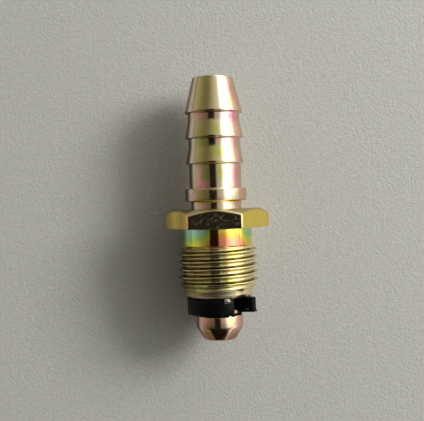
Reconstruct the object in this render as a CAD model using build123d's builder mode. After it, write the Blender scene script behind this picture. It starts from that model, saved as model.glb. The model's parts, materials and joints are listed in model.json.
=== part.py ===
"""Straight male hose connector: a barbed stem, a male nut that swivels on it, and a split clip.

The connector lies on a flat of its hexagon. Its axis runs along Y, the hose tail towards +Y, and the
origin is under the middle of its length, on the surface that it lies on. Lengths are in millimetres.
"""

import os
from math import ceil, cos, radians, sin, tan

from build123d import *

# Male nut, M16 x 1.5
thread_diameter = 16.0
thread_pitch = 1.5
thread_angle = 60.0
first_groove_offset = 0.54
nut_wall = 2.9
thread_length = 10.2
lead_chamfer_length = 1.55
pilot_length = 0.8
nut_end_chamfer = 0.6
undercut_clearance = 0.23
undercut_length = 3.35
undercut_slope = 45.0
hex_shoulder = 1.0
hex_height = 3.75
hex_corner_radius = 0.5
hex_chamfer_inset = 0.35
hex_chamfer_angle = 30.0
nut_running_clearance = 0.1
nut_bore_chamfer = 0.3
nut_axial_play = 1.55
nut_end_clearance = 0.1

# Hose tail, for a hose of 10 mm bore
barb_count = 3
barb_pitch = 5.0
barb_height = 0.55
crest_land = 0.3
flare_length = 2.9
step_length = 0.1
tip_wall = 1.0
tip_length = 7.0
tip_chamfer = 0.25
seat_length = 4.9

# Collar that stops the hose, and the neck that the nut turns on
collar_height = 0.95
collar_width = 2.5
collar_chamfer = 0.25
neck_step = 0.15
neck_chamfer = 0.3

# Split clip, with angles about the axis measured from straight up towards +X
clip_height = 3.2
clip_wall = 2.05
clip_fit_clearance = 0.05
groove_depth = 0.8
groove_slack = 0.1
first_end_angle = 30.0
second_end_angle = 49.0
top_step_angle = 18.0
top_step_depth = 0.78
bottom_step_angle = 9.0
bottom_step_depth = 0.67
bottom_relief_angle = 22.0
bottom_relief_depth = 0.95

# Finger tab on the second end of the clip
tab_length = 2.75
tab_thickness = 1.0
tab_rise = 0.3
tab_nut_clearance = 0.65
tab_notch_inset = 0.55
tab_notch_width = 1.2
tab_notch_depth = 0.5
tab_corner_radius = 0.3

# Nose with its 60 degree sealing cone
nose_step = 0.325
nose_length = 2.7
nose_shoulder_width = 0.15
nose_shoulder_slope_length = 0.5
cone_half_angle = 30.0
cone_end_wall = 0.98
cone_end_chamfer = 0.25

# Flow bore, drilled from both ends
tail_wall = 2.15
tail_bore_depth = 38.0
nose_wall = 1.95
drill_point_angle = 118.0
bore_chamfer = 0.25

# Radii, from the thread inwards and then out along the stem
thread_radius = thread_diameter / 2
thread_triangle_height = thread_pitch / 2 / tan(radians(thread_angle / 2))
thread_depth = thread_triangle_height * 17 / 24
thread_root_width = thread_pitch / 6
thread_root_radius = thread_radius - thread_depth
undercut_radius = thread_root_radius - undercut_clearance
pilot_radius = undercut_radius
hex_half_flats = thread_radius + hex_shoulder
hex_chamfer_radius = hex_half_flats - hex_chamfer_inset
nut_bore_radius = thread_radius - nut_wall
nut_end_radius = pilot_radius - nut_end_chamfer
neck_radius = nut_bore_radius - nut_running_clearance
root_radius = neck_radius + neck_step
crest_radius = root_radius + barb_height
collar_radius = root_radius + collar_height
tail_bore_radius = root_radius - tail_wall
tip_radius = tail_bore_radius + tip_wall
groove_radius = neck_radius - groove_depth
nose_radius = neck_radius - nose_step
nose_bore_radius = groove_radius - nose_wall
cone_end_radius = nose_bore_radius + cone_end_wall
clip_inner_radius = groove_radius + clip_fit_clearance
clip_outer_radius = clip_inner_radius + clip_wall
tab_radius = clip_outer_radius + tab_length
tab_rise_radius = nut_end_radius + tab_nut_clearance

# Lengths that the radii give
cone_length = (nose_radius - cone_end_radius) / tan(radians(cone_half_angle))
drill_point_length = (tail_bore_radius - nose_bore_radius) / tan(radians(drill_point_angle / 2))
undercut_slope_length = (thread_radius - undercut_radius) / tan(radians(undercut_slope))

# Places along the axis, from the tail to the nose
overall_length = (
    tip_length
    + (barb_count - 1) * barb_pitch
    + seat_length
    + collar_width
    + nut_axial_play
    + hex_height
    + undercut_length
    + thread_length
    + nut_end_clearance
    + clip_height
    + nose_length
    + cone_length
)
tail_end = overall_length / 2
crests = [tail_end - tip_length - i * barb_pitch for i in range(barb_count)]
collar_top = crests[-1] - seat_length
collar_bottom = collar_top - collar_width
hex_top = collar_bottom - nut_axial_play
hex_bottom = hex_top - hex_height
undercut_bottom = hex_bottom - undercut_length
nut_end = undercut_bottom - thread_length
pilot_bottom = nut_end + nut_end_chamfer
pilot_top = pilot_bottom + pilot_length
clip_top = nut_end - nut_end_clearance
clip_bottom = clip_top - clip_height
cone_top = clip_bottom - nose_length
nose_end = cone_top - cone_length
groove_top = clip_top + groove_slack
tail_bore_bottom = tail_end - tail_bore_depth

axis_height = hex_half_flats
fitting_axis = Axis((0, 0, axis_height), (0, 1, 0))
profile_plane = Plane.XY.offset(axis_height)


def cross_section(y):
    """The plane across the axis at y, its own x pointing up, its own y along +X, facing the tail."""
    return Plane(origin=(0, y, axis_height), x_dir=(0, 0, 1), z_dir=(0, 1, 0))


def polar(radius, angle):
    return radius * cos(radians(angle)), radius * sin(radians(angle))


def rims(part, y):
    """The round edges of a part that lie in the plane across the axis at y, smallest first."""
    near = 0.001
    circles = part.edges().filter_by(GeomType.CIRCLE)
    return circles.filter_by_position(Axis.Y, y - near, y + near).sort_by(SortBy.RADIUS)


def sector(start_angle, end_angle):
    """A wedge from the axis past the outside of the clip, between two angles."""
    reach = 2 * clip_outer_radius
    return Polygon((0, 0), polar(reach, start_angle), polar(reach, end_angle), align=None)


# Hose stem, turned from one bar
with BuildPart() as hose_stem:
    with BuildSketch(profile_plane):
        with BuildLine():
            Polyline((0, tail_end), (tip_radius, tail_end), (crest_radius, crests[0] + crest_land))
            for crest in crests:
                Polyline(
                    (crest_radius, crest + crest_land),
                    (crest_radius, crest),
                    (root_radius, crest - step_length),
                )
            for above, crest in zip(crests, crests[1:]):
                Polyline(
                    (root_radius, above - step_length),
                    (root_radius, crest + crest_land + flare_length),
                    (crest_radius, crest + crest_land),
                )
            Polyline(
                (root_radius, crests[-1] - step_length),
                (root_radius, collar_top),
                (collar_radius, collar_top),
                (collar_radius, collar_bottom),
                (neck_radius, collar_bottom),
                (neck_radius, groove_top),
                (groove_radius, groove_top),
                (groove_radius, clip_bottom),
                (groove_radius + nose_shoulder_width, clip_bottom),
                (nose_radius, clip_bottom - nose_shoulder_slope_length),
                (nose_radius, cone_top),
                (cone_end_radius, nose_end),
                (0, nose_end),
                (0, tail_end),
            )
        make_face()
    revolve(axis=fitting_axis)
    with BuildSketch(profile_plane):
        with BuildLine():
            Polyline(
                (0, tail_end),
                (tail_bore_radius, tail_end),
                (tail_bore_radius, tail_bore_bottom),
                (nose_bore_radius, tail_bore_bottom - drill_point_length),
                (nose_bore_radius, nose_end),
                (0, nose_end),
                close=True,
            )
        make_face()
    revolve(axis=fitting_axis, mode=Mode.SUBTRACT)
    chamfer(rims(hose_stem, tail_end)[-1], tip_chamfer)
    chamfer(rims(hose_stem, nose_end)[-1], cone_end_chamfer)
    chamfer([rims(hose_stem, tail_end)[0], rims(hose_stem, nose_end)[0]], bore_chamfer)
    chamfer([rims(hose_stem, collar_top)[-1], rims(hose_stem, collar_bottom)[-1]], collar_chamfer)
    chamfer(rims(hose_stem, groove_top)[-1], neck_chamfer)

# One turn of the thread's groove, a little wider and higher than the bar that it is cut in
groove_start = nut_end + first_groove_offset - thread_pitch
groove_start_plane = Plane(
    origin=(0, groove_start, axis_height),
    x_dir=(0, 0, 1),
    z_dir=(-1, 0, 0),
)
with BuildPart() as thread_groove:
    with BuildLine():
        helix = Helix(
            pitch=thread_pitch,
            height=thread_pitch,
            radius=thread_radius,
            center=groove_start_plane.origin,
            direction=fitting_axis.direction,
        )
    with BuildSketch(groove_start_plane):
        mouth_radius = thread_radius + thread_pitch / 16
        half_root = thread_root_width / 2
        half_mouth = half_root + (mouth_radius - thread_root_radius) * tan(radians(thread_angle / 2))
        with BuildLine():
            Polyline(
                (thread_root_radius, -half_root),
                (thread_root_radius, half_root),
                (mouth_radius, half_mouth),
                (mouth_radius, -half_mouth),
                close=True,
            )
        make_face()
    sweep(path=helix, is_frenet=True)

# Shank of the nut: undercut, thread, lead chamfer and pilot
with BuildPart() as threaded_shank:
    with BuildSketch(profile_plane):
        with BuildLine():
            Polyline(
                (0, hex_bottom),
                (undercut_radius, hex_bottom),
                (undercut_radius, undercut_bottom),
                (thread_radius, undercut_bottom - undercut_slope_length),
                (thread_radius, pilot_top + lead_chamfer_length),
                (pilot_radius, pilot_top),
                (pilot_radius, pilot_bottom),
                (nut_end_radius, nut_end),
                (0, nut_end),
                close=True,
            )
        make_face()
    revolve(axis=fitting_axis)
    thread_end = undercut_bottom + thread_pitch / 2
    for turn in range(ceil((thread_end - groove_start) / thread_pitch)):
        with Locations((0, turn * thread_pitch, 0)):
            add(thread_groove.part, mode=Mode.SUBTRACT)

# Male nut: the hexagon, chamfered on its tail side, on the threaded shank
with BuildPart() as swivel_nut:
    with BuildSketch(cross_section(hex_bottom)) as hexagon:
        RegularPolygon(hex_half_flats, side_count=6, major_radius=False, rotation=30)
        fillet(hexagon.vertices(), hex_corner_radius)
    extrude(amount=hex_height)
    with BuildSketch(profile_plane):
        beyond_corners = 2 * hex_half_flats
        chamfer_fall = (beyond_corners - hex_chamfer_radius) * tan(radians(hex_chamfer_angle))
        with BuildLine():
            Polyline(
                (0, hex_top),
                (hex_chamfer_radius, hex_top),
                (beyond_corners, hex_top - chamfer_fall),
                (beyond_corners, hex_bottom - chamfer_fall),
                (0, hex_bottom - chamfer_fall),
                close=True,
            )
        make_face()
    revolve(axis=fitting_axis, mode=Mode.INTERSECT)
    add(threaded_shank.part)
    with BuildSketch(cross_section(nut_end)):
        Circle(nut_bore_radius)
    extrude(amount=hex_top - nut_end, mode=Mode.SUBTRACT)
    chamfer([rims(swivel_nut, hex_top)[0], rims(swivel_nut, nut_end)[0]], nut_bore_chamfer)

# Split clip: its ends are stepped, the first on its upper side and the second on its lower side
with BuildPart() as retaining_clip:
    with BuildSketch(cross_section(clip_bottom)):
        Circle(clip_outer_radius)
        Circle(clip_inner_radius, mode=Mode.SUBTRACT)
    extrude(amount=clip_height)
    with BuildSketch(cross_section(clip_bottom)):
        sector(first_end_angle, second_end_angle)
    extrude(amount=clip_height, mode=Mode.SUBTRACT)
    with BuildSketch(cross_section(clip_top - top_step_depth)):
        sector(first_end_angle - top_step_angle, first_end_angle)
    extrude(amount=top_step_depth, mode=Mode.SUBTRACT)
    with BuildSketch(cross_section(clip_bottom)):
        sector(second_end_angle, second_end_angle + bottom_step_angle)
    extrude(amount=bottom_step_depth, mode=Mode.SUBTRACT)
    relief_start = second_end_angle + bottom_step_angle
    with BuildSketch(cross_section(clip_bottom)):
        sector(relief_start, relief_start + bottom_relief_angle)
    extrude(amount=bottom_relief_depth, mode=Mode.SUBTRACT)
    outward_x, outward_z = sin(radians(second_end_angle)), cos(radians(second_end_angle))
    tab_plane = Plane(
        origin=(0, clip_bottom, axis_height),
        x_dir=(outward_x, 0, outward_z),
        z_dir=(-outward_z, 0, outward_x),
    )
    tab_root = (clip_inner_radius + clip_outer_radius) / 2
    tab_top = clip_height + tab_rise
    notch_start = clip_outer_radius + tab_notch_inset
    notch_end = notch_start + tab_notch_width
    with BuildSketch(tab_plane) as tab_profile:
        with BuildLine():
            Polyline(
                (notch_start, bottom_step_depth),
                (tab_root, bottom_step_depth),
                (tab_root, clip_height),
                (tab_rise_radius - tab_rise, clip_height),
                (tab_rise_radius, tab_top),
                (tab_radius, tab_top),
                (tab_radius, bottom_step_depth),
                (notch_end, bottom_step_depth),
            )
            ThreePointArc(
                (notch_end, bottom_step_depth),
                ((notch_start + notch_end) / 2, bottom_step_depth + tab_notch_depth),
                (notch_start, bottom_step_depth),
            )
        make_face()
        fillet(tab_profile.vertices().group_by(Axis.X)[-1], tab_corner_radius)
    extrude(amount=-tab_thickness)

hose_stem.part.label = "hose_stem"
swivel_nut.part.label = "swivel_nut"
retaining_clip.part.label = "retaining_clip"

os.makedirs("parts", exist_ok=True)
export_step(hose_stem.part, "parts/hose_stem.step")
export_step(swivel_nut.part, "parts/swivel_nut.step")
export_step(retaining_clip.part, "parts/retaining_clip.step")
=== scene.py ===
"""Dresses a straight male hose connector: the turned stem, the threaded nut and the split clip.

The connector lies on a flat of its hexagon with its axis along Y and the hose tail towards +Y.
Angles round the axis start straight up and grow towards +X. Everything is in metres.
"""

import json
from collections import namedtuple
from math import atan, ceil, cos, pi, radians, sin, sqrt, tan

import bmesh
import bpy
from bpy.props import FloatProperty, FloatVectorProperty, IntProperty, PointerProperty
from mathutils import Matrix, Vector


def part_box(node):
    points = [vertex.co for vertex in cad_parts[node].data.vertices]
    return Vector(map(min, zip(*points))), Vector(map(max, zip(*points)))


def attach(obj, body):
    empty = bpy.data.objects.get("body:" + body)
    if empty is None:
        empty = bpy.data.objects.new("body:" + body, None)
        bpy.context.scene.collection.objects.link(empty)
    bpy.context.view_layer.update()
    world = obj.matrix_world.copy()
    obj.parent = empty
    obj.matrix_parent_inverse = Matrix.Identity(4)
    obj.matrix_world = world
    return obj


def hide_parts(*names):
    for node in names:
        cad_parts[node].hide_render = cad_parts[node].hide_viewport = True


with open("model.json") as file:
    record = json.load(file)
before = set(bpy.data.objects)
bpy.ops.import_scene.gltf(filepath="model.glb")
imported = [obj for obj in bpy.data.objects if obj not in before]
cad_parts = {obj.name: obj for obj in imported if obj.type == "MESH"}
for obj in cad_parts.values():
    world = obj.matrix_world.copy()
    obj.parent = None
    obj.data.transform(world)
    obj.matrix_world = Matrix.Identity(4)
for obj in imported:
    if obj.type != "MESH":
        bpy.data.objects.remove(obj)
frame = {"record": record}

bl_info = {
    "name": "Straight male hose connector",
    "version": (1, 0, 0),
    "blender": (4, 5, 0),
    "location": "3D View > Sidebar > Connector",
    "description": "Makes a plated hose connector with its swivel nut and clip, and a stage for it",
    "category": "Object",
}

MM = 0.001
MERGE_DISTANCE = 0.0002 * MM
FLOOR_HALF_WIDTH = 1.5
ROOM_BRIGHTEST = 2.4

stem_low, stem_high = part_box("hose_stem")
nut_low, nut_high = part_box("swivel_nut")
clip_low, clip_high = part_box("retaining_clip")
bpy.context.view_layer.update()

AXIS_HEIGHT = (nut_low.z + nut_high.z) / 2
mounts = {mount["name"]: mount for mount in frame["record"]["mounts"]}


def mount_radius(name):
    """The radius of one of the record's round mounts."""
    return mounts[name]["dims"]["r_mm"] * MM


def linear(hex_code):
    """One sRGB hex colour as linear red, green, blue and alpha."""
    channels = [int(hex_code[i : i + 2], 16) / 255 for i in (1, 3, 5)]
    return [c / 12.92 if c <= 0.04045 else ((c + 0.055) / 1.055) ** 2.4 for c in channels] + [1.0]


def length(name, millimetres, description):
    return FloatProperty(
        name=name, description=description, default=millimetres * MM, unit="LENGTH", precision=5
    )


def angle(name, angle_in_degrees, description):
    return FloatProperty(
        name=name, description=description, default=radians(angle_in_degrees), subtype="ANGLE"
    )


def colour(name, hex_code, description):
    return FloatVectorProperty(
        name=name, description=description, default=linear(hex_code), size=4, subtype="COLOR"
    )


class StemSizes(bpy.types.PropertyGroup):
    """The turned hose stem, with its barbs, collar, neck, clip groove and nose."""

    barb_count: IntProperty(name="Barbs", description="Number of barbs", default=3, min=1)
    barb_pitch: length("Barb pitch", 5.0, "Distance from one barb to the next")
    barb_height: length("Barb height", 0.55, "Height of a barb above the root")
    crest_land: length("Crest land", 0.3, "Width of the flat rim of a barb")
    flare_length: length("Flare", 2.9, "Length of the slope up to a barb")
    step_length: length("Step", 0.1, "Lean of the step behind a barb")
    tip_length: length("Tip", 7.0, "Length of the taper at the tail's end")
    tip_wall: length("Tip wall", 1.0, "Wall at the tail's end")
    seat_length: length("Seat", 4.9, "Length of the root between the last barb and the collar")
    collar_height: length("Collar height", 0.95, "Height of the collar above the root")
    collar_width: length("Collar width", 2.5, "Width of the collar along the axis")
    neck_radius: length("Neck radius", 5.0, "Radius of the neck that the nut turns on")
    groove_radius: length("Groove radius", 4.2, "Radius of the groove that the clip sits in")
    nose_radius: length("Nose radius", 4.675, "Radius of the nose between clip and cone")
    nose_shoulder_radius: length("Nose shoulder radius", 4.35, "Radius at the clip's lower side")
    nose_shoulder: length("Nose shoulder", 0.5, "Length of the slope from the clip to the nose")
    nose_length: length("Nose length", 2.7, "Length of the nose before its cone")
    cone_end_radius: length("Cone end radius", 3.23, "Radius at the end of the sealing cone")
    bore_step: length("Bore step", 38.0, "Depth of the wide bore from the tail's end")
    drill_point_angle: angle("Drill point angle", 118.0, "Included angle between the two bores")
    bore_chamfer: length("Bore chamfer", 0.25, "Chamfer at both mouths of the bore")
    edge_radius: length("Edge radius", 0.09, "Rounding of the turned edges under their plating")
    foot_radius: length("Foot radius", 0.3, "Hollow left by the tool where a step meets the stem")
    segments: IntProperty(name="Segments", description="Steps round the axis", default=180, min=32)


class NutSizes(bpy.types.PropertyGroup):
    """The male nut, with its hexagon, undercut and thread."""

    hex_height: length("Hexagon height", 3.75, "Length of the hexagon along the axis")
    hex_corner_radius: length("Hexagon corner radius", 0.5, "Rounding of the six corners")
    chamfer_inset: length("Chamfer inset", 0.35, "From a flat inwards to the chamfer's circle")
    chamfer_angle: angle("Chamfer angle", 30.0, "Slope of the hexagon's chamfer")
    chamfer_edge_radius: length("Chamfer edge", 0.35, "Rounding between a flat and the chamfer")
    undercut_radius: length("Undercut radius", 6.85, "Radius of the undercut and of the pilot")
    undercut_length: length("Undercut length", 3.35, "Length of the undercut")
    thread_pitch: length("Thread pitch", 1.5, "Advance of the thread in one turn")
    first_groove: length("First groove", 0.54, "From the nut's end to the first groove, at the top")
    crest_rounding: length("Crest rounding", 0.07, "Rounding of the thread's crests")
    root_rounding: length("Root rounding", 0.12, "Rounding of the thread's roots")
    lead_length: length("Lead chamfer", 1.55, "Length of the chamfer where the thread starts")
    pilot_length: length("Pilot", 0.8, "Length of the plain pilot below the thread")
    end_chamfer: length("End chamfer", 0.6, "Chamfer between the pilot and the end face")
    bore_radius: length("Bore radius", 5.1, "Radius of the bore that turns on the neck")
    bore_chamfer: length("Bore chamfer", 0.3, "Chamfer at both mouths of the bore")
    edge_radius: length("Edge radius", 0.13, "Rounding of the nut's edges under their plating")
    flat_steps: IntProperty(name="Flat steps", description="Columns across a flat", default=24)
    corner_steps: IntProperty(name="Corner steps", description="Columns in a corner", default=6)


class ClipSizes(bpy.types.PropertyGroup):
    """The split clip, with its stepped ends and its finger tab."""

    height: length("Height", 3.2, "Length of the clip along the axis")
    inner_radius: length("Inner radius", 4.25, "Radius of the clip's bore")
    outer_radius: length("Outer radius", 6.3, "Radius of the clip's outside")
    first_end: angle("First end", 30.0, "Where the ring's first end lies")
    second_end: angle("Second end", 49.0, "Where the ring's second end lies")
    top_step_angle: angle("Top step angle", 18.0, "Reach of the step on the first end")
    top_step_depth: length("Top step depth", 0.78, "Depth of the step on the first end")
    bottom_step_angle: angle("Bottom step angle", 9.0, "Reach of the step on the second end")
    bottom_step_depth: length("Bottom step depth", 0.67, "Depth of the step on the second end")
    relief_angle: angle("Relief angle", 22.0, "Reach of the relief behind that step")
    relief_depth: length("Relief depth", 0.95, "Depth of the relief")
    tab_radius: length("Tab radius", 9.05, "Where the finger tab ends, from the axis")
    tab_thickness: length("Tab thickness", 1.0, "Thickness of the finger tab")
    tab_rise: length("Tab rise", 0.3, "How far the tab stands above the ring")
    tab_rise_radius: length("Tab rise radius", 6.9, "Where the tab starts to stand higher")
    notch_start: length("Notch start", 6.85, "Inner end of the round notch under the tab")
    notch_width: length("Notch width", 1.2, "Width of the round notch under the tab")
    notch_depth: length("Notch depth", 0.5, "Depth of the round notch under the tab")
    tab_hollow: length("Tab hollow", 0.32, "How far the tab's end is hollowed")
    tab_corner_radius: length("Tab corner radius", 0.3, "Rounding of the tab's outer corners")
    edge_radius: length("Edge radius", 0.12, "Rounding of the moulded edges")
    angle_step: angle("Angle step", 3.0, "Step round the ring")


class Finishes(bpy.types.PropertyGroup):
    """Colours of the plating, the clip and the stage, with the painted shade and highlight on the
    plating.
    """

    # Champagne is also painted as a thin reflected line down the stem's left side.
    champagne: colour("Champagne", "#E6DCC4", "Thinnest film on the stem")
    straw: colour("Straw", "#DCCA98", "Thin film on the stem")
    moss: colour("Moss", "#B0AA6C", "Film on the stem that turns green")
    lime: colour("Lime", "#C9CC62", "Film on the stem that turns yellow green")
    tan: colour("Tan", "#B09A78", "Film that turns pale brown")
    umber: colour("Umber", "#765C44", "Film low on the stem's side")
    copper: colour("Copper", "#A86C54", "Film that turns to copper on the cone")
    peach: colour("Peach", "#F8CBB0", "Film that turns to orange pink")
    rose: colour("Rose", "#E8A6A2", "Film that turns to rose")
    magenta: colour("Magenta", "#F29CB2", "Film that turns to purple pink")
    # Honey is also painted as a highlight on the nose.
    honey: colour("Honey", "#F6E496", "Film that turns to yellow again")
    smoke: colour("Smoke", "#7C6C50", "Thick film that turns brown")
    # Painted shade: umber darkens the stem's left side.
    teal: colour("Teal", "#A4D6C4", "Heavy film on the nut, at its coldest")
    leaf: colour("Leaf", "#B2D872", "Heavy film that turns to green")
    citron: colour("Citron", "#DEE25C", "Heavy film that turns yellow green")
    brass: colour("Brass", "#F0D866", "Heavy film on most of the nut")
    amber: colour("Amber", "#F2B04C", "Heavy film that turns to orange")
    blush: colour("Blush", "#EA9478", "Heavy film that turns to rose")
    wheat: colour("Wheat", "#FAEDB8", "Film on the thread's lit side")
    # Painted shade: khaki darkens the thread's left side.
    thread_shade: colour("Khaki", "#968C54", "Film on the thread's shaded side")
    # Painted shade: olive darkens the hexagon's left side.
    hexagon_shade: colour("Olive", "#B8A552", "Film on the hexagon's shaded side")
    # Painted shade: bronze darkens the thread's flanks.
    flank_shade: colour("Bronze", "#604E2A", "Burnt film on the thread's flanks")
    # Painted shade: the near-black brown that the plating's hollows are darkened towards.
    hollow_shade: colour("Grime", "#1C140C", "Dry oil and dust in the hollows")
    polyamide: colour("Polyamide", "#060708", "Black moulded polyamide")
    paper: colour("Paper", "#BCBCB6", "Pale grey floor")


class ConnectorSettings(bpy.types.PropertyGroup):
    """Everything that a user may change."""

    stem: PointerProperty(type=StemSizes)
    nut: PointerProperty(type=NutSizes)
    clip: PointerProperty(type=ClipSizes)
    finish: PointerProperty(type=Finishes)


def around_axis(turn, radius, y):
    """The point at an angle, a radius and a place along the connector's axis."""
    return Vector((radius * sin(turn), y, AXIS_HEIGHT + radius * cos(turn)))


def rounded(corners, steps=3):
    """A closed outline of (radius, y, rounding) corners, each one turned into a short curve."""
    points = []
    for i, (radius, y, rounding) in enumerate(corners):
        corner = Vector((radius, y))
        if rounding == 0:
            points.append(corner)
            continue
        to_before = Vector(corners[i - 1][:2]) - corner
        to_after = Vector(corners[(i + 1) % len(corners)][:2]) - corner
        # Two roundings on one side never meet.
        rounding = min(rounding, 0.45 * to_before.length, 0.45 * to_after.length)
        before, after = to_before.normalized() * rounding, to_after.normalized() * rounding
        for step in range(steps + 1):
            t = step / steps
            points.append(corner + before * (1 - t) ** 2 + after * t**2)
    return points


def lathe(name, turns, outline_at):
    """A closed ring mesh whose section at each turn is outline_at(turn), as (radius, y) pairs."""
    mesh = bmesh.new()
    columns = [
        [mesh.verts.new(around_axis(turn, radius, y)) for radius, y in outline_at(turn)]
        for turn in turns
    ]
    for column, following in zip(columns, columns[1:]):
        for row in range(len(column)):
            mesh.faces.new((column[row - 1], column[row], following[row], following[row - 1]))
    return finish_mesh(name, mesh)


def finish_mesh(name, mesh):
    """Joins the seams of a bmesh, turns its faces outwards and makes it a smooth-shaded object."""
    bmesh.ops.remove_doubles(mesh, verts=mesh.verts, dist=MERGE_DISTANCE)
    bmesh.ops.dissolve_degenerate(mesh, edges=mesh.edges, dist=MERGE_DISTANCE)
    bmesh.ops.recalc_face_normals(mesh, faces=mesh.faces)
    data = bpy.data.meshes.new(name)
    mesh.to_mesh(data)
    mesh.free()
    data.shade_smooth()
    piece = bpy.data.objects.new(name, data)
    bpy.context.scene.collection.objects.link(piece)
    return piece


def keep_flats_flat(piece):
    """Lets the large faces set the normals, so that only the roundings look round."""
    modifier = piece.modifiers.new("flat faces", "WEIGHTED_NORMAL")
    modifier.mode = "FACE_AREA"
    modifier.weight = 80


def stem_outline(sizes):
    """The stem's half section: down the outside from the tail to the nose, and back up the bore."""
    edge = sizes.edge_radius
    tail_bore, nose_bore = mount_radius("tail_bore"), mount_radius("nose_bore")
    crest = mount_radius("hose_tail")
    root = crest - sizes.barb_height
    tail_end, nose_end = stem_high.y, stem_low.y
    tip = tail_bore + sizes.tip_wall
    corners = [(tip, tail_end, 3 * edge)]
    crest_y = tail_end - sizes.tip_length
    for barb in range(sizes.barb_count):
        if barb > 0:
            crest_y -= sizes.barb_pitch
            corners.append((root, crest_y + sizes.crest_land + sizes.flare_length, 5 * edge))
        corners.append((crest, crest_y + sizes.crest_land, edge))
        corners.append((crest, crest_y, edge))
        corners.append((root, crest_y - sizes.step_length, sizes.foot_radius))
    collar = root + sizes.collar_height
    collar_top = crest_y - sizes.seat_length
    collar_bottom = collar_top - sizes.collar_width
    clip_bottom = clip_low.y
    clip_top = nut_low.y
    cone_top = clip_bottom - sizes.nose_length
    corners += [
        (root, collar_top, edge),
        (collar, collar_top, 3 * edge),
        (collar, collar_bottom, 3 * edge),
        (sizes.neck_radius, collar_bottom, sizes.foot_radius),
        (sizes.neck_radius, clip_top, 3 * edge),
        (sizes.groove_radius, clip_top, edge),
        (sizes.groove_radius, clip_bottom, edge),
        (sizes.nose_shoulder_radius, clip_bottom, edge),
        (sizes.nose_radius, clip_bottom - sizes.nose_shoulder, 2 * edge),
        (sizes.nose_radius, cone_top, 2 * edge),
        (sizes.cone_end_radius, nose_end, 3 * edge),
        (nose_bore + sizes.bore_chamfer, nose_end, edge),
        (nose_bore, nose_end + sizes.bore_chamfer, edge),
    ]
    step_y = tail_end - sizes.bore_step
    point = (tail_bore - nose_bore) / tan(sizes.drill_point_angle / 2)
    corners += [
        (nose_bore, step_y - point, edge),
        (tail_bore, step_y, edge),
        (tail_bore, tail_end - sizes.bore_chamfer, edge),
        (tail_bore + sizes.bore_chamfer, tail_end, edge),
    ]
    return rounded(corners)


def hexagon_turns(sizes, half_flats):
    """Angles round the hexagon: even steps on each flat and finer ones round each corner."""
    corner_centre = (half_flats - sizes.hex_corner_radius) * tan(pi / 6)
    flat_reach = atan(corner_centre / half_flats)
    corner_reach = pi / 6 - flat_reach
    turns = []
    for side in range(6):
        middle = side * pi / 3
        for step in range(sizes.flat_steps):
            turns.append(middle - flat_reach + 2 * flat_reach * step / sizes.flat_steps)
        for step in range(sizes.corner_steps):
            turns.append(middle + flat_reach + 2 * corner_reach * step / sizes.corner_steps)
    return turns + [turns[0] + 2 * pi]


def hexagon_radius(sizes, half_flats, turn):
    """Distance from the axis to the rounded hexagon at an angle."""
    from_flat = abs((turn + pi / 6) % (pi / 3) - pi / 6)
    centre_radius = (half_flats - sizes.hex_corner_radius) / cos(pi / 6)
    flat_radius = half_flats / cos(from_flat)
    from_corner = pi / 6 - from_flat
    if flat_radius * sin(from_corner) > sizes.hex_corner_radius * sin(pi / 6):
        return flat_radius
    across = centre_radius * sin(from_corner)
    return centre_radius * cos(from_corner) + sqrt(sizes.hex_corner_radius**2 - across**2)


def groove_depth(sizes):
    """Depth of the thread's groove: 17/24 of the height of its 60 degree triangle."""
    return sizes.thread_pitch * cos(pi / 6) * 17 / 24


def thread_profile(sizes):
    """One pitch of the thread between two groove middles, as (fall from the crest, place)."""
    pitch, depth = sizes.thread_pitch, groove_depth(sizes)
    # The groove's floor is a sixth of a pitch wide, and the flat of the crest an eighth.
    corners = [
        (-depth, 0, 0),
        (-depth, pitch / 12, sizes.root_rounding),
        (0, pitch * 7 / 16, sizes.crest_rounding),
        (0, pitch * 9 / 16, sizes.crest_rounding),
        (-depth, pitch * 11 / 12, sizes.root_rounding),
        (-depth, pitch, 0),
    ]
    profile = []
    for point in rounded(corners):
        if profile:
            pieces = ceil((point - profile[-1]).length / (pitch / 8))
            profile += [profile[-1].lerp(point, (i + 1) / pieces) for i in range(pieces)]
        else:
            profile.append(point)
    return profile[:-1]


def thread_rows(sizes, thread_radius, top, bottom, profile, turn):
    """The threaded length at one angle, from the undercut down to the pilot."""
    pitch = sizes.thread_pitch
    root_radius = sizes.undercut_radius
    lead_slope = (thread_radius - root_radius) / sizes.lead_length
    first = nut_low.y + sizes.first_groove - pitch + pitch * turn / (2 * pi)
    # Rows past either end gather on it, so that every angle has as many rows.
    spare_pitches = 3
    pitches = ceil((top - bottom) / pitch) + spare_pitches
    points = []
    for count in range(pitches - 1, -1, -1):
        for fall, place in reversed(profile):
            y = min(max(first + count * pitch + place, bottom), top)
            slope = root_radius + top - y
            lead = root_radius + (y - bottom) * lead_slope
            points.append(Vector((min(thread_radius + fall, slope, lead), y)))
    return points


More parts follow.
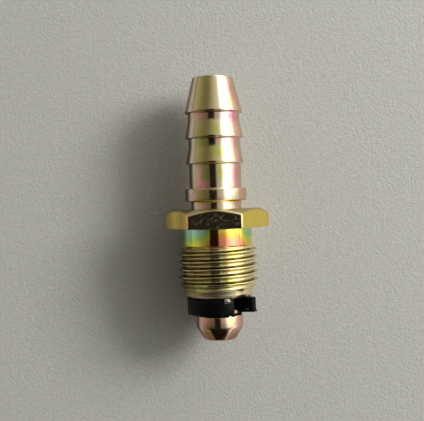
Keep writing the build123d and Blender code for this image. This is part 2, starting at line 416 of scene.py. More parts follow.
def nut_outline(sizes, profile, turn):
    """The nut's half section at an angle: chamfer, hexagon, undercut, thread, pilot and bore."""
    edge = sizes.edge_radius
    half_flats = AXIS_HEIGHT - nut_low.z
    thread_radius = mount_radius("thread")
    hex_top, nut_end = nut_high.y, nut_low.y
    hex_bottom = hex_top - sizes.hex_height
    undercut_bottom = hex_bottom - sizes.undercut_length
    pilot_bottom = nut_end + sizes.end_chamfer
    pilot_top = pilot_bottom + sizes.pilot_length
    radius = hexagon_radius(sizes, half_flats, turn)
    circle = half_flats - sizes.chamfer_inset
    fall = (radius - circle) * tan(sizes.chamfer_angle)
    mouth = sizes.bore_radius + sizes.bore_chamfer
    undercut_corner = (sizes.undercut_radius, undercut_bottom, 0)
    corners = [
        (mouth, hex_top, edge),
        (circle, hex_top, edge),
        (radius, hex_top - fall, sizes.chamfer_edge_radius),
        (radius, hex_bottom, edge),
        (sizes.undercut_radius, hex_bottom, 1.5 * edge),
        undercut_corner,
        (sizes.undercut_radius, pilot_top, 0),
        (sizes.undercut_radius, pilot_bottom, edge),
        (sizes.undercut_radius - sizes.end_chamfer, nut_end, 2 * edge),
        (mouth, nut_end, edge),
        (sizes.bore_radius, nut_end + sizes.bore_chamfer, edge),
        (sizes.bore_radius, hex_top - sizes.bore_chamfer, edge),
    ]
    outline = rounded(corners)
    above = outline.index(Vector(undercut_corner[:2])) + 1
    rows = thread_rows(sizes, thread_radius, undercut_bottom, pilot_top, profile, turn)
    return outline[:above] + rows + outline[above:]


def clip_ring(sizes):
    """The clip's ring with its two stepped ends, from a grid of cells round the axis."""
    bottom = clip_low.y
    top_step = sizes.height - sizes.top_step_depth
    levels = [0, sizes.bottom_step_depth, sizes.relief_depth, top_step, sizes.height]
    relief_start = sizes.second_end + sizes.bottom_step_angle
    relief_end = relief_start + sizes.relief_angle
    last_end = sizes.first_end + 2 * pi
    step_start = last_end - sizes.top_step_angle
    turns = [sizes.second_end]
    for stop in (relief_start, relief_end, step_start, last_end):
        start = turns[-1]
        count = max(1, round((stop - start) / sizes.angle_step))
        turns += [start + (stop - start) * (i + 1) / count for i in range(count)]

    def is_solid(column, row):
        if not (0 <= column < len(turns) - 1 and 0 <= row < len(levels) - 1):
            return False
        turn = (turns[column] + turns[column + 1]) / 2
        level = (levels[row] + levels[row + 1]) / 2
        if turn < relief_start:
            return level > sizes.bottom_step_depth
        if turn < relief_end:
            return level > sizes.relief_depth
        return turn < step_start or level < top_step

    mesh = bmesh.new()
    corners = {}

    def corner(column, row, radius):
        key = (column, row, radius)
        if key not in corners:
            corners[key] = mesh.verts.new(around_axis(turns[column], radius, bottom + levels[row]))
        return corners[key]

    inner, outer = sizes.inner_radius, sizes.outer_radius
    for column in range(len(turns) - 1):
        for row in range(len(levels) - 1):
            if not is_solid(column, row):
                continue
            square = ((column, row), (column + 1, row), (column + 1, row + 1), (column, row + 1))
            mesh.faces.new([corner(*place, outer) for place in square])
            mesh.faces.new([corner(*place, inner) for place in square])
            beside = ((column, row - 1), (column + 1, row), (column, row + 1), (column - 1, row))
            for i, neighbour in enumerate(beside):
                if not is_solid(*neighbour):
                    first, second = square[i], square[(i + 1) % 4]
                    edges = ((first, outer), (second, outer), (second, inner), (first, inner))
                    mesh.faces.new([corner(*place, radius) for place, radius in edges])
    return finish_mesh("clip_ring", mesh)


def clip_tab(sizes):
    """The finger tab: an outline in the plane of the clip's second end, pushed out to a plate."""
    low = sizes.bottom_step_depth
    ring_middle = (sizes.inner_radius + sizes.outer_radius) / 2
    top = sizes.height + sizes.tab_rise
    end = sizes.tab_radius - sizes.tab_hollow
    rounding = sizes.tab_corner_radius
    corner_steps, arc_steps = 6, 12
    outline = [
        (ring_middle, low),
        (ring_middle, sizes.height),
        (sizes.tab_rise_radius - sizes.tab_rise, sizes.height),
        (sizes.tab_rise_radius, top),
    ]
    for step in range(corner_steps + 1):
        turn = pi / 2 * step / corner_steps
        outline.append((end - rounding * (1 - sin(turn)), top - rounding * (1 - cos(turn))))
    # The tab's end is hollow and flares to a pointed lower corner.
    outline += [
        (end, (low + top) / 2),
        (end, low + 2 * rounding),
        (sizes.tab_radius, low + rounding / 3),
        (sizes.tab_radius - rounding, low),
    ]
    half_width = sizes.notch_width / 2
    notch_middle = sizes.notch_start + half_width
    for step in range(arc_steps + 1):
        turn = pi * step / arc_steps
        outline.append(
            (notch_middle + half_width * cos(turn), low + sizes.notch_depth * sin(turn))
        )
    outward = Vector((sin(sizes.second_end), 0, cos(sizes.second_end)))
    along = Vector((cos(sizes.second_end), 0, -sin(sizes.second_end))) * sizes.tab_thickness
    mesh = bmesh.new()
    root = Vector((0, clip_low.y, AXIS_HEIGHT))
    near = [mesh.verts.new(root + outward * r + Vector((0, y, 0))) for r, y in outline]
    far = [mesh.verts.new(vertex.co + along) for vertex in near]
    mesh.faces.new(near)
    mesh.faces.new(far)
    for i in range(len(near)):
        mesh.faces.new((near[i - 1], near[i], far[i], far[i - 1]))
    return finish_mesh("clip_tab", mesh)


def add_node(tree, kind, inputs=None, stops=None, **settings):
    """Adds a shader node with its properties, ramp stops and inputs.

    An input is a value, the socket of another node, or another node, whose first output is linked.
    """
    node = tree.nodes.new("ShaderNode" + kind)
    for name, value in settings.items():
        setattr(node, name, value)
    for name, value in (inputs or {}).items():
        if isinstance(value, bpy.types.Node):
            value = next(socket for socket in value.outputs if socket.enabled)
        if isinstance(value, bpy.types.NodeSocket):
            tree.links.new(value, node.inputs[name])
        else:
            node.inputs[name].default_value = value
    if stops:
        elements = node.color_ramp.elements
        while len(elements) < len(stops):
            elements.new(1.0)
        for element, (position, value) in zip(elements, stops):
            element.position = position
            element.color = value
    return node


def new_material(name):
    """An empty node material and its tree."""
    material = bpy.data.materials.new(name)
    material.use_nodes = True
    material.node_tree.nodes.clear()
    return material, material.node_tree


def place_from_axis(tree):
    """Object coordinates in millimetres from the axis: x across, y along and z up."""
    place = add_node(tree, "TexCoord").outputs["Object"]
    centred = add_node(tree, "VectorMath", {0: place, 1: (0, 0, AXIS_HEIGHT)}, operation="SUBTRACT")
    return add_node(tree, "VectorMath", {0: centred, "Scale": 1 / MM}, operation="SCALE")


def radial_place(turn, radius_there, y):
    """A point at an angle in degrees from straight up, in the millimetres of place_from_axis."""
    return (radius_there * sin(radians(turn)), y, radius_there * cos(radians(turn)))


def colour_round(tree, parts, stops):
    """A colour that changes round the axis: stops are (degrees from straight up, colour)."""
    turn = add_node(
        tree, "Math", {0: parts.outputs["X"], 1: parts.outputs["Z"]}, operation="ARCTAN2"
    )
    share = add_node(tree, "MapRange", {"Value": turn, "From Min": -pi, "From Max": pi})
    ramp_stops = [((from_top + 180) / 360, there) for from_top, there in stops]
    return add_node(tree, "ValToRGB", {"Fac": share}, ramp_stops)


def stain(tree, place, under, over, centre, across, along, strength):
    """Lays one soft-edged colour over another, in millimetres round a centre on the surface."""
    offset = add_node(tree, "VectorMath", {0: place, 1: centre}, operation="SUBTRACT")
    reach = (1 / across, 1 / along, 1 / across)
    scaled = add_node(tree, "VectorMath", {0: offset, 1: reach}, operation="MULTIPLY")
    distance = add_node(tree, "VectorMath", {0: scaled}, operation="LENGTH")
    share = add_node(
        tree,
        "MapRange",
        {"Value": distance, "From Min": 1.4, "From Max": 0.2, "To Max": strength},
        interpolation_type="SMOOTHSTEP",
    )
    return add_node(tree, "Mix", {"Factor": share, "A": under, "B": over}, data_type="RGBA")


# What a film is laid on, all in millimetres from the axis: the place with wandering edges, its x, y
# and z without them, the distance from the axis, and a slow noise.
PlatedPlace = namedtuple("PlatedPlace", "wander parts radius drift")


def turned_plating(name, settings, film_at, roughness, blotches, blotched_above, end_roughness):
    """Zinc-plated turned steel with a yellow chromate film.

    The film is a fraction of a micron thick, so its colour runs through interference tints where
    the bath left it thicker. The tool's rings show through it as fine lines round the axis, dull
    blotches catch light where the metal is dark, and the hollows above the clip are darkened as
    painted shade.
    """
    material, tree = new_material(name)
    place = place_from_axis(tree)
    parts = add_node(tree, "SeparateXYZ", {0: place})
    along = parts.outputs["Y"]
    across = add_node(tree, "VectorMath", {0: place, 1: (1, 0, 1)}, operation="MULTIPLY")
    radius = add_node(tree, "VectorMath", {0: across}, operation="LENGTH")
    drift = add_node(
        tree, "TexNoise", {"Vector": place, "Scale": 0.55, "Detail": 4.0, "Roughness": 0.6}
    )
    shift = add_node(
        tree, "VectorMath", {0: drift.outputs["Color"], 1: (-0.5, -0.5, -0.5)}, operation="ADD"
    )
    # The edges of the stains wander by up to a millimetre.
    wander = add_node(
        tree, "VectorMath", {0: shift, 1: (3.0, 3.0, 3.0), 2: place}, operation="MULTIPLY_ADD"
    )
    film = film_at(tree, settings, PlatedPlace(wander, parts, radius, drift))
    # Painted shade: where the occlusion test finds the surface hemmed in within half a millimetre,
    # the film is darkened towards a near-black brown, above the clip only.
    shelter = add_node(tree, "AmbientOcclusion", {"Distance": 0.5 * MM}, samples=12)
    painted_shade = add_node(
        tree,
        "MapRange",
        {"Value": shelter.outputs["AO"], "From Min": 0.65, "From Max": 0.25, "To Max": 0.9},
    )
    above_the_clip = add_node(tree, "Math", {0: along, 1: nut_low.y / MM}, operation="GREATER_THAN")
    painted_shade_share = add_node(tree, "Math", {0: painted_shade, 1: above_the_clip}, operation="MULTIPLY")
    base = add_node(
        tree, "Mix", {"Factor": painted_shade_share, "A": film, "B": settings.finish.hollow_shade}, data_type="RGBA"
    )
    # Tool marks 0.1 mm apart on the real stem are drawn 0.3 mm apart, so that they show.
    ring_place = add_node(tree, "Math", {0: along, 1: radius}, operation="ADD")
    rings = add_node(
        tree,
        "TexNoise",
        {"W": ring_place, "Scale": 3.3, "Detail": 3.0, "Roughness": 0.6},
        noise_dimensions="1D",
    )
    nicks = add_node(tree, "TexNoise", {"Vector": place, "Scale": 2.2, "Detail": 4.0})
    relief = add_node(tree, "Mix", {"Factor": 0.35, "A": rings, "B": nicks})
    bump = add_node(tree, "Bump", {"Strength": 0.35, "Distance": 0.02 * MM, "Height": relief})
    gloss = add_node(
        tree,
        "MapRange",
        {
            "Value": nicks,
            "From Min": 0.3,
            "From Max": 0.7,
            "To Min": roughness * 0.8,
            "To Max": roughness * 1.3,
        },
    )
    spots = add_node(
        tree, "TexNoise", {"Vector": place, "Scale": 1.6, "Detail": 5.0, "Roughness": 0.7}
    )
    dulled = add_node(
        tree, "MapRange", {"Value": spots, "From Min": 0.52, "From Max": 0.60, "To Max": blotches}
    )
    blotched = add_node(tree, "Math", {0: along, 1: blotched_above / MM}, operation="GREATER_THAN")
    duller = add_node(tree, "Math", {0: dulled, 1: blotched, 2: gloss}, operation="MULTIPLY_ADD")
    # The chamfer and the pilot at the nut's end are turned more coarsely than the rest.
    smooth, coarse = nut_low.y / MM + 2.6, nut_low.y / MM + 1.6
    coarser = add_node(
        tree,
        "MapRange",
        {"Value": along, "From Min": smooth, "From Max": coarse, "To Max": end_roughness},
    )
    dullest = add_node(tree, "Math", {0: duller, 1: coarser}, operation="ADD")
    shader = add_node(
        tree,
        "BsdfPrincipled",
        {"Base Color": base, "Metallic": 1.0, "Roughness": dullest, "Normal": bump},
    )
    add_node(tree, "OutputMaterial", {"Surface": shader})
    return material


def stem_film(tree, settings, at):
    """The stem's film: pale and browner down its sides, with umber painted shade down its left
    side, a champagne painted reflected line above it, and soft stains that the bath left.
    """
    finish, sizes = settings.finish, settings.stem
    film = colour_round(
        tree,
        at.parts,
        (
            (-180, finish.straw),
            # Umber from -90 to -64 degrees is painted shade on the stem's left side.
            (-90, finish.umber),
            (-64, finish.umber),
            # The thin champagne band from -52 to -47 degrees is a painted reflected line of the lit
            # floor.
            (-58, finish.tan),
            (-52, finish.champagne),
            (-47, finish.champagne),
            (-41, finish.tan),
            (-18, finish.moss),
            (0, finish.straw),
            (20, finish.champagne),
            (36, finish.champagne),
            (52, finish.peach),
            (90, finish.tan),
            (180, finish.straw),
        ),
    )
    root = (mount_radius("hose_tail") - sizes.barb_height) / MM
    tail = stem_high.y / MM
    cone_top = (clip_low.y - sizes.nose_length) / MM
    # Each stain: degrees from straight up, distance from the tail's end, reach across and along,
    # its colour and its strength.
    for turn, from_tail, across, along, over, strength in (
        (-17, 3.9, 1.3, 3.6, finish.moss, 0.6),
        (54, 2.6, 1.3, 2.8, finish.rose, 0.8),
        (37, 5.3, 0.9, 1.0, finish.honey, 0.9),
        (-30, 7.8, 2.3, 1.0, finish.rose, 0.6),
        (6, 7.8, 1.6, 0.9, finish.rose, 0.45),
        (48, 7.9, 1.5, 1.3, finish.magenta, 0.95),
        (5, 10.6, 1.5, 1.2, finish.lime, 0.8),
        (56, 10.8, 1.3, 1.5, finish.peach, 0.9),
        (-3, 12.9, 0.8, 1.1, finish.smoke, 0.7),
        (12, 12.3, 0.6, 0.7, finish.rose, 0.8),
        (-25, 14.2, 1.7, 2.5, finish.moss, 0.9),
        (8, 15.0, 1.5, 1.8, finish.lime, 0.9),
        (54, 13.0, 1.1, 1.5, finish.rose, 0.7),
        (-38, 19.4, 1.0, 2.5, finish.rose, 0.75),
        (-17, 18.7, 1.4, 1.9, finish.moss, 0.95),
        (-24, 21.2, 1.8, 0.9, finish.magenta, 0.8),
        (14, 18.6, 0.9, 1.8, finish.lime, 0.7),
        (56, 19.4, 1.1, 2.7, finish.magenta, 0.75),
        (-45, 23.3, 1.5, 1.2, finish.rose, 0.9),
        (-22, 23.3, 1.0, 1.2, finish.moss, 0.7),
        (12, 23.5, 1.0, 2.2, finish.peach, 0.9),
        (42, 24.0, 2.0, 2.3, finish.tan, 0.75),
        (-32, 25.6, 1.3, 0.9, finish.rose, 0.6),
    ):
        centre = radial_place(turn, root, tail - from_tail)
        film = stain(tree, at.wander, film, over, centre, across, along, strength)
    # The nose takes a rose film and its cone a copper one, all round, with a painted yellow
    # highlight on top.
    film = stain(tree, at.wander, film, finish.rose, (0, cone_top + 1.4, 0), 9.0, 1.6, 0.7)
    film = stain(tree, at.wander, film, finish.copper, (0, cone_top - 1.8, 0), 9.0, 1.9, 0.9)
    # Painted highlight: honey laid on the nose where the room's bright side reflects.
    painted_highlight = radial_place(30, root - 0.5, cone_top + 1.3)
    return stain(tree, at.wander, film, finish.honey, painted_highlight, 1.0, 1.3, 0.9)


def undercut_film(tree, finish, at, top, bottom, radius):
    """Interference tints that thicken down the undercut, towards its top and to the right."""
    down = add_node(
        tree,
        "MapRange",
        {
            "Value": at.parts.outputs["Y"],
            "From Min": top,
            "From Max": bottom,
            "To Min": -0.10,
            "To Max": 0.55,
        },
    )
    drifted = add_node(tree, "Math", {0: at.drift, 1: 0.35, 2: down}, operation="MULTIPLY_ADD")
    leaning = add_node(
        tree,
        "Math",
        {0: at.parts.outputs["X"], 1: 0.3, 2: at.parts.outputs["Z"]},
        operation="MULTIPLY_ADD",
    )
    upwards = add_node(
        tree,
        "MapRange",
        {
            "Value": leaning,
            "From Min": radius * 0.80,
            "From Max": radius * 1.02,
            "To Min": -0.17,
            "To Max": 0.36,
        },
        interpolation_type="SMOOTHSTEP",
    )
    sideways = add_node(
        tree, "Math", {0: at.parts.outputs["X"], 1: 0.015, 2: upwards}, operation="MULTIPLY_ADD"
    )
    thickness = add_node(tree, "Math", {0: drifted, 1: sideways}, operation="ADD")
    tints = (
        (0.00, finish.teal),
        (0.26, finish.leaf),
        (0.40, finish.citron),
        (0.54, finish.brass),
        (0.72, finish.amber),
        (0.95, finish.blush),
    )
    return add_node(tree, "ValToRGB", {"Fac": thickness}, tints)


def thread_film(tree, finish, at, undercut_bottom, crest, root):
    """Wheat on the thread's lit side and khaki painted shade on the other, stained, with painted
    shade on the flanks.
    """
    film = colour_round(
        tree,
        at.parts,
        (
            (-180, finish.wheat),
            # Khaki from -90 to -38 degrees is painted shade on the thread's left side.
            (-90, finish.thread_shade),
            (-38, finish.thread_shade),
            (-15, finish.wheat),
            (180, finish.wheat),
        ),
    )
    # Each stain: degrees from straight up, distance below the undercut, reach across and along,
    # its colour and its strength.
    for turn, below, across, along, over, strength in (
        (26, 1.2, 1.4, 1.5, finish.citron, 0.7),
        (22, 7.2, 2.2, 0.9, finish.citron, 0.7),
        (-24, 8.2, 1.8, 0.9, finish.citron, 0.7),
        (-48, 4.5, 1.5, 3.0, finish.peach, 0.5),
        (64, 3.6, 1.3, 2.6, finish.peach, 0.5),
    ):
        centre = radial_place(turn, crest, undercut_bottom - below)
        film = stain(tree, at.wander, film, over, centre, across, along, strength)
    rim = (0, nut_low.y / MM + 0.2, 0)
    film = stain(tree, at.wander, film, finish.rose, rim, 9.0, 0.9, 0.8)
    # Painted shade: the flanks between crest and root are darkened towards bronze.
    from_middle = add_node(
        tree, "Math", {0: at.radius, 1: (crest + root) / 2}, operation="SUBTRACT"
    )
    off_middle = add_node(tree, "Math", {0: from_middle}, operation="ABSOLUTE")
    flank_shade_share = add_node(
        tree, "MapRange", {"Value": off_middle, "From Min": 0.38, "From Max": 0.16, "To Max": 0.68}
    )
    return add_node(tree, "Mix", {"Factor": flank_shade_share, "A": film, "B": finish.flank_shade}, data_type="RGBA")


def hexagon_film(tree, finish, sizes, at):
    """Brass on the hexagon's flats with olive painted shade on its left side, and a browner film on
    its turned chamfer.
    """
    film = colour_round(
        tree,
        at.parts,
        (
            (-180, finish.brass),
            (-94, finish.copper),
            # Olive at -82 and -44 degrees is painted shade on the hexagon's left side.
            (-82, finish.hexagon_shade),
            (-62, finish.brass),
            (-44, finish.hexagon_shade),
            (-34, finish.amber),
            (-26, finish.wheat),
            (26, finish.wheat),
            (34, finish.brass),
            (84, finish.brass),
            (100, finish.amber),
            (180, finish.brass),
        ),
    )
    slope = tan(sizes.chamfer_angle)
    circle = AXIS_HEIGHT - nut_low.z - sizes.chamfer_inset
    on_chamfer = (nut_high.y + circle * slope) / MM
    along_cone = add_node(
        tree, "Math", {0: at.radius, 1: slope, 2: at.parts.outputs["Y"]}, operation="MULTIPLY_ADD"
    )
    turned = add_node(
        tree,
        "MapRange",
        {
            "Value": along_cone,
            "From Min": on_chamfer - 0.18,
            "From Max": on_chamfer - 0.06,
            "To Max": 0.75,
        },
    )
    return add_node(tree, "Mix", {"Factor": turned, "A": film, "B": finish.tan}, data_type="RGBA")


def nut_film(tree, settings, at):
    """The nut's film: brass on the hexagon, tints on the undercut, and wheat on the thread."""
    finish, sizes = settings.finish, settings.nut
    hex_bottom = (nut_high.y - sizes.hex_height) / MM
    undercut_bottom = hex_bottom - sizes.undercut_length / MM
    undercut_radius = sizes.undercut_radius / MM
    crest = mount_radius("thread") / MM
    root = crest - groove_depth(sizes) / MM
    undercut = undercut_film(tree, finish, at, hex_bottom, undercut_bottom, undercut_radius)
    thread = thread_film(tree, finish, at, undercut_bottom, crest, root)
    hexagon = hexagon_film(tree, finish, sizes, at)
    along = at.parts.outputs["Y"]
    below = add_node(
        tree,
        "MapRange",
        {"Value": along, "From Min": undercut_bottom, "From Max": undercut_bottom - 0.5},
    )
    above = add_node(
        tree,
        "MapRange",
        {"Value": along, "From Min": hex_bottom - 0.1, "From Max": hex_bottom + 0.05},
    )
    lower = add_node(tree, "Mix", {"Factor": below, "A": undercut, "B": thread}, data_type="RGBA")
    return add_node(tree, "Mix", {"Factor": above, "A": lower, "B": hexagon}, data_type="RGBA")


def moulded_polyamide(finish):
    """Black glass-filled polyamide from a spark-eroded mould: satin, with a fine grain."""
    material, tree = new_material("moulded_black_polyamide")
    # The mould's grain is about 0.05 mm and is drawn at 0.15 mm, so that it shows.
    grain = add_node(
        tree, "TexNoise", {"Vector": place_from_axis(tree), "Scale": 6.5, "Detail": 2.0}
    )
    bump = add_node(tree, "Bump", {"Strength": 0.25, "Distance": 0.02 * MM, "Height": grain})
    shader = add_node(
        tree,
        "BsdfPrincipled",
        {
            "Base Color": finish.polyamide,
            "Roughness": 0.36,
            "Specular IOR Level": 0.1,
            "Normal": bump,
        },
    )
    add_node(tree, "OutputMaterial", {"Surface": shader})
    return material


def matt_paper(finish):
    """Pale grey card for the floor: matt from above, glossier at a low angle, with a fine tooth."""
    material, tree = new_material("matt_grey_card")
    place = add_node(tree, "TexCoord").outputs["Object"]
    mottle = add_node(tree, "TexNoise", {"Vector": place, "Scale": 0.9 / MM, "Detail": 3.0})
    shade = add_node(tree, "MapRange", {"Value": mottle, "To Min": 0.88, "To Max": 1.12})
    tone = add_node(
        tree, "VectorMath", {0: tuple(finish.paper)[:3], "Scale": shade}, operation="SCALE"
    )
    # The card's tooth is about 0.2 mm and is drawn at 0.6 mm, so that it shows.
    tooth = add_node(
        tree, "TexNoise", {"Vector": place, "Scale": 1.7 / MM, "Detail": 3.0, "Roughness": 0.7}
    )
    fibres = add_node(tree, "Bump", {"Strength": 1.0, "Distance": 0.15 * MM, "Height": tooth})
    shader = add_node(
        tree,
        "BsdfPrincipled",
        {"Base Color": tone, "Roughness": 0.4, "Specular IOR Level": 0.9, "Normal": fibres},
    )
    add_node(tree, "OutputMaterial", {"Surface": shader})
    return material


class CONNECTOR_OT_turn_stem(bpy.types.Operator):
    """Turns the barbed stem and gives it its thin chromate film"""

    bl_idname = "connector.turn_stem"
    bl_label = "Turn stem"

    def execute(self, context):
        settings = context.scene.hose_connector
        outline = stem_outline(settings.stem)
        turns = [2 * pi * i / settings.stem.segments for i in range(settings.stem.segments + 1)]
        stem = lathe("turned_stem", turns, lambda turn: outline)
        keep_flats_flat(stem)
        stem.data.materials.append(
            turned_plating(
                "zinc_plate_thin_chromate",
                settings,
                stem_film,
                roughness=0.13,
                blotches=0.05,
                blotched_above=stem_low.y,
                end_roughness=0.0,
            )
        )
        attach(stem, "stem")
        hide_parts("hose_stem")
        return {"FINISHED"}


class CONNECTOR_OT_cut_nut(bpy.types.Operator):
    """Cuts the threaded swivel nut and gives it its heavy chromate film"""

    bl_idname = "connector.cut_nut"
    bl_label = "Cut nut"

    def execute(self, context):
        settings = context.scene.hose_connector
        turns = hexagon_turns(settings.nut, AXIS_HEIGHT - nut_low.z)
        profile = thread_profile(settings.nut)
        nut = lathe("threaded_nut", turns, lambda turn: nut_outline(settings.nut, profile, turn))
        keep_flats_flat(nut)
        nut.data.materials.append(
            turned_plating(
                "zinc_plate_heavy_chromate",
                settings,
                nut_film,
                roughness=0.09,
                blotches=0.14,
                blotched_above=nut_high.y - settings.nut.hex_height,
                end_roughness=0.22,
            )
        )
        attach(nut, "nut")
        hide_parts("swivel_nut")
        return {"FINISHED"}


class CONNECTOR_OT_mould_clip(bpy.types.Operator):
    """Moulds the split clip with its finger tab"""

    bl_idname = "connector.mould_clip"
    bl_label = "Mould clip"

    def execute(self, context):
        settings = context.scene.hose_connector
        sizes = settings.clip
        ring, tab = clip_ring(sizes), clip_tab(sizes)
        union = ring.modifiers.new("tab", "BOOLEAN")
        union.operation = "UNION"
        union.solver = "EXACT"
        union.object = tab
        bevel = ring.modifiers.new("moulded edges", "BEVEL")
        bevel.width = sizes.edge_radius
        bevel.segments = 3
        bevel.limit_method = "ANGLE"
        bevel.angle_limit = radians(35)
        context.view_layer.update()
        shape = ring.evaluated_get(context.evaluated_depsgraph_get())
        data = bpy.data.meshes.new_from_object(shape)
        data.name = "moulded_clip"
        clip = bpy.data.objects.new("moulded_clip", data)
        context.scene.collection.objects.link(clip)
        for part in (ring, tab):
            bpy.data.objects.remove(part)
        data.shade_smooth()
        keep_flats_flat(clip)
        data.materials.append(moulded_polyamide(settings.finish))
        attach(clip, "stem")
        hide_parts("retaining_clip")
        return {"FINISHED"}


class CONNECTOR_OT_set_stage(bpy.types.Operator):
    """Lays the pale floor and sets the light and the camera"""

    bl_idname = "connector.set_stage"
    bl_label = "Set stage"

    def execute(self, context):
        finish = context.scene.hose_connector.finish
        lay_floor(finish)
        set_room()
        hang_window()
        set_camera(context)
        context.scene.view_settings.view_transform = "Standard"
        return {"FINISHED"}


def lay_floor(finish):
    """A wide level card under the connector."""
    half = FLOOR_HALF_WIDTH
    mesh = bmesh.new()
    places = ((-half, -half), (half, -half), (half, half), (-half, half))
    mesh.faces.new([mesh.verts.new((x, y, 0)) for x, y in places])
    floor = finish_mesh("floor", mesh)
    floor.data.materials.append(matt_paper(finish))


def side_ramp(tree, side):
    """The room's colour by the angle to the side: dim on the left and lit on the right."""
    share = add_node(tree, "MapRange", {"Value": side, "From Min": -pi / 2, "From Max": pi / 2})
    stops = []
    # Each stop: degrees from the zenith towards +X, radiance, and how warm it is.
    for from_zenith, radiance, warmth in (
        (-90, 0.62, 0.16),
        (-80, 0.56, 0.18),
        (-68, 0.44, 0.20),
        (-50, 0.30, 0.22),
        (-32, 0.20, 0.24),
        (-15, 0.22, 0.20),
        (8, 0.43, 0.12),
        (28, 0.60, 0.08),
        (38, 1.60, 0.02),
        (46, 2.30, 0.02),
        (62, 2.30, 0.02),
        (70, 1.85, 0.02),
        (81, 1.50, 0.04),
        (83, 0.45, 0.10),
        (85, 1.50, 0.04),
        (90, 1.50, 0.04),
    ):
        grey = radiance / ROOM_BRIGHTEST
        there = (grey, grey * (1 - 0.25 * warmth), grey * (1 - warmth), 1)
        stops.append(((from_zenith + 90) / 180, there))
    return add_node(tree, "ValToRGB", {"Fac": share}, stops)


def dark_places(tree, side, off_side, tailward):
    """Where the room is darkest: a strip overhead and a wide patch in front."""
    left, right, behind, front, beside = [
        add_node(
            tree,
            "MapRange",
            {"Value": value, "From Min": light, "From Max": dark},
            interpolation_type="SMOOTHSTEP",
        )
        for value, light, dark in (
            (side, radians(-24), radians(-21)),
            (side, radians(9), radians(5)),
            (tailward, 0.23, 0.17),
            (tailward, -0.79, -0.84),
            (off_side, radians(78), radians(70)),
        )
    ]
    between = add_node(tree, "Math", {0: left, 1: right}, operation="MULTIPLY")
    overhead = add_node(tree, "Math", {0: between, 1: behind}, operation="MULTIPLY")
    in_front = add_node(tree, "Math", {0: front, 1: beside}, operation="MULTIPLY")
    return add_node(tree, "Math", {0: overhead, 1: in_front}, operation="MAXIMUM")


def set_room():
    """A dim room as the metal sees it: bright on the right, dark overhead and in front."""
    world = bpy.data.worlds.new("room")
    bpy.context.scene.world = world
    world.use_nodes = True
    tree = world.node_tree
    tree.nodes.clear()
    place = add_node(tree, "TexCoord").outputs["Generated"]
    parts = add_node(tree, "SeparateXYZ", {0: place})
    # How far a direction leans along the axis, from -1 at the nose to 1 at the hose tail.
    tailward = parts.outputs["Y"]
    side = add_node(
        tree, "Math", {0: parts.outputs["X"], 1: parts.outputs["Z"]}, operation="ARCTAN2"
    )
    off_side = add_node(tree, "Math", {0: side}, operation="ABSOLUTE")
    in_front = add_node(
        tree,
        "MapRange",
        {"Value": tailward, "From Min": -0.36, "From Max": -0.06, "To Min": 0.07, "To Max": 1.0},
        interpolation_type="SMOOTHSTEP",
    )
    beside = add_node(
        tree,
        "MapRange",
        {"Value": off_side, "From Min": radians(60), "From Max": radians(72), "To Max": 0.75},
    )
    front = add_node(tree, "Math", {0: in_front, 1: beside}, operation="MAXIMUM")
    behind = add_node(
        tree,
        "MapRange",
        {"Value": tailward, "From Min": 0.15, "From Max": 0.5, "To Min": 1.0, "To Max": 1.3},
        interpolation_type="SMOOTHSTEP",
    )
    along = add_node(tree, "Math", {0: front, 1: behind}, operation="MULTIPLY")
    bright = add_node(
        tree, "VectorMath", {0: side_ramp(tree, side), "Scale": along}, operation="SCALE"
    )
    dark = dark_places(tree, side, off_side, tailward)
    room = add_node(
        tree, "Mix", {"Factor": dark, "A": bright, "B": (0.006, 0.005, 0.005, 1)}, data_type="RGBA"
    )
    seen = add_node(tree, "LightPath")
    # The matt floor gets less of the room than the metal mirrors, which keeps the shadow deep.
    strength = add_node(
        tree,
        "MapRange",
        {
            "Value": seen.outputs["Is Diffuse Ray"],
            "To Min": ROOM_BRIGHTEST,
            "To Max": ROOM_BRIGHTEST * 0.72,
        },
    )
    light = add_node(tree, "Background", {"Color": room, "Strength": strength})
    plain = add_node(tree, "Background", {"Color": linear("#A8A69E")})
    mixed = add_node(tree, "MixShader", {0: seen.outputs["Is Camera Ray"], 1: light, 2: plain})
    add_node(tree, "OutputWorld", {"Surface": mixed})


def hang_window():
    """A soft window light on the right, low enough to throw the shadow to the left."""
    distance, azimuth, height = 0.75, radians(24), radians(30.5)
    direction = Vector((cos(height) * cos(azimuth), cos(height) * sin(azimuth), sin(height)))
    data = bpy.data.lights.new("window", "AREA")
    data.shape = "RECTANGLE"
    data.size, data.size_y = 0.32, 0.22
    data.energy = 5.2
    data.color = (1.0, 0.985, 0.96)
    window = bpy.data.objects.new("window", data)
    bpy.context.scene.collection.objects.link(window)
    # The room already holds the window that the metal mirrors.
    window.visible_glossy = False
    window.location = direction * distance
    window.rotation_euler = direction.to_track_quat("Z", "Y").to_euler()


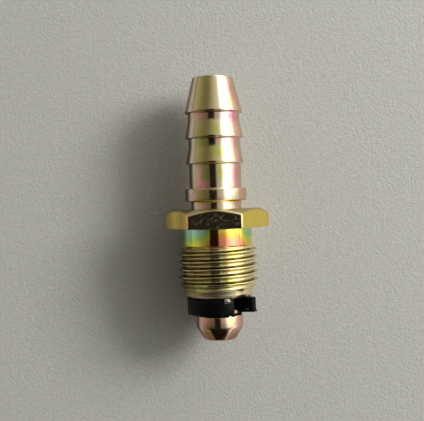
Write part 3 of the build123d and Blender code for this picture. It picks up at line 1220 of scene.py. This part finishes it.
def set_camera(context):
    """The camera stands almost straight over the connector, as a hand-held one does."""
    data = bpy.data.cameras.new("camera")
    data.sensor_width = 36.0
    data.lens = 66.35
    data.clip_start, data.clip_end = 0.01, 10.0
    camera = bpy.data.objects.new("camera", data)
    context.scene.collection.objects.link(camera)
    camera.location = Vector((6.366, 1.980, 164.208)) * MM
    target = Vector((-0.863, -0.414, 9.0)) * MM
    roll = 0.0319
    backward = (camera.location - target).normalized()
    right = Vector((sin(roll), cos(roll), 0)).cross(backward).normalized()
    up = backward.cross(right)
    camera.rotation_euler = Matrix((right, up, backward)).transposed().to_euler()
    context.scene.camera = camera


class CONNECTOR_PT_panel(bpy.types.Panel):
    """Lists the connector's settings and the operators that make it"""

    bl_label = "Hose connector"
    bl_idname = "CONNECTOR_PT_panel"
    bl_space_type = "VIEW_3D"
    bl_region_type = "UI"
    bl_category = "Connector"

    def draw(self, context):
        settings = context.scene.hose_connector
        for title, group in (
            ("Stem", settings.stem),
            ("Nut", settings.nut),
            ("Clip", settings.clip),
            ("Finish", settings.finish),
        ):
            box = self.layout.box()
            box.label(text=title)
            for name in group.bl_rna.properties.keys():
                if name not in ("rna_type", "name"):
                    box.prop(group, name)
        for operator in OPERATORS:
            self.layout.operator(operator.bl_idname)


OPERATORS = (
    CONNECTOR_OT_turn_stem,
    CONNECTOR_OT_cut_nut,
    CONNECTOR_OT_mould_clip,
    CONNECTOR_OT_set_stage,
)
CLASSES = (
    StemSizes,
    NutSizes,
    ClipSizes,
    Finishes,
    ConnectorSettings,
    *OPERATORS,
    CONNECTOR_PT_panel,
)


def register():
    for cls in CLASSES:
        bpy.utils.register_class(cls)
    bpy.types.Scene.hose_connector = PointerProperty(type=ConnectorSettings)


def unregister():
    del bpy.types.Scene.hose_connector
    for cls in reversed(CLASSES):
        bpy.utils.unregister_class(cls)


def main():
    register()
    bpy.ops.connector.turn_stem()
    bpy.ops.connector.cut_nut()
    bpy.ops.connector.mould_clip()
    bpy.ops.connector.set_stage()


if __name__ == "__main__":
    main()
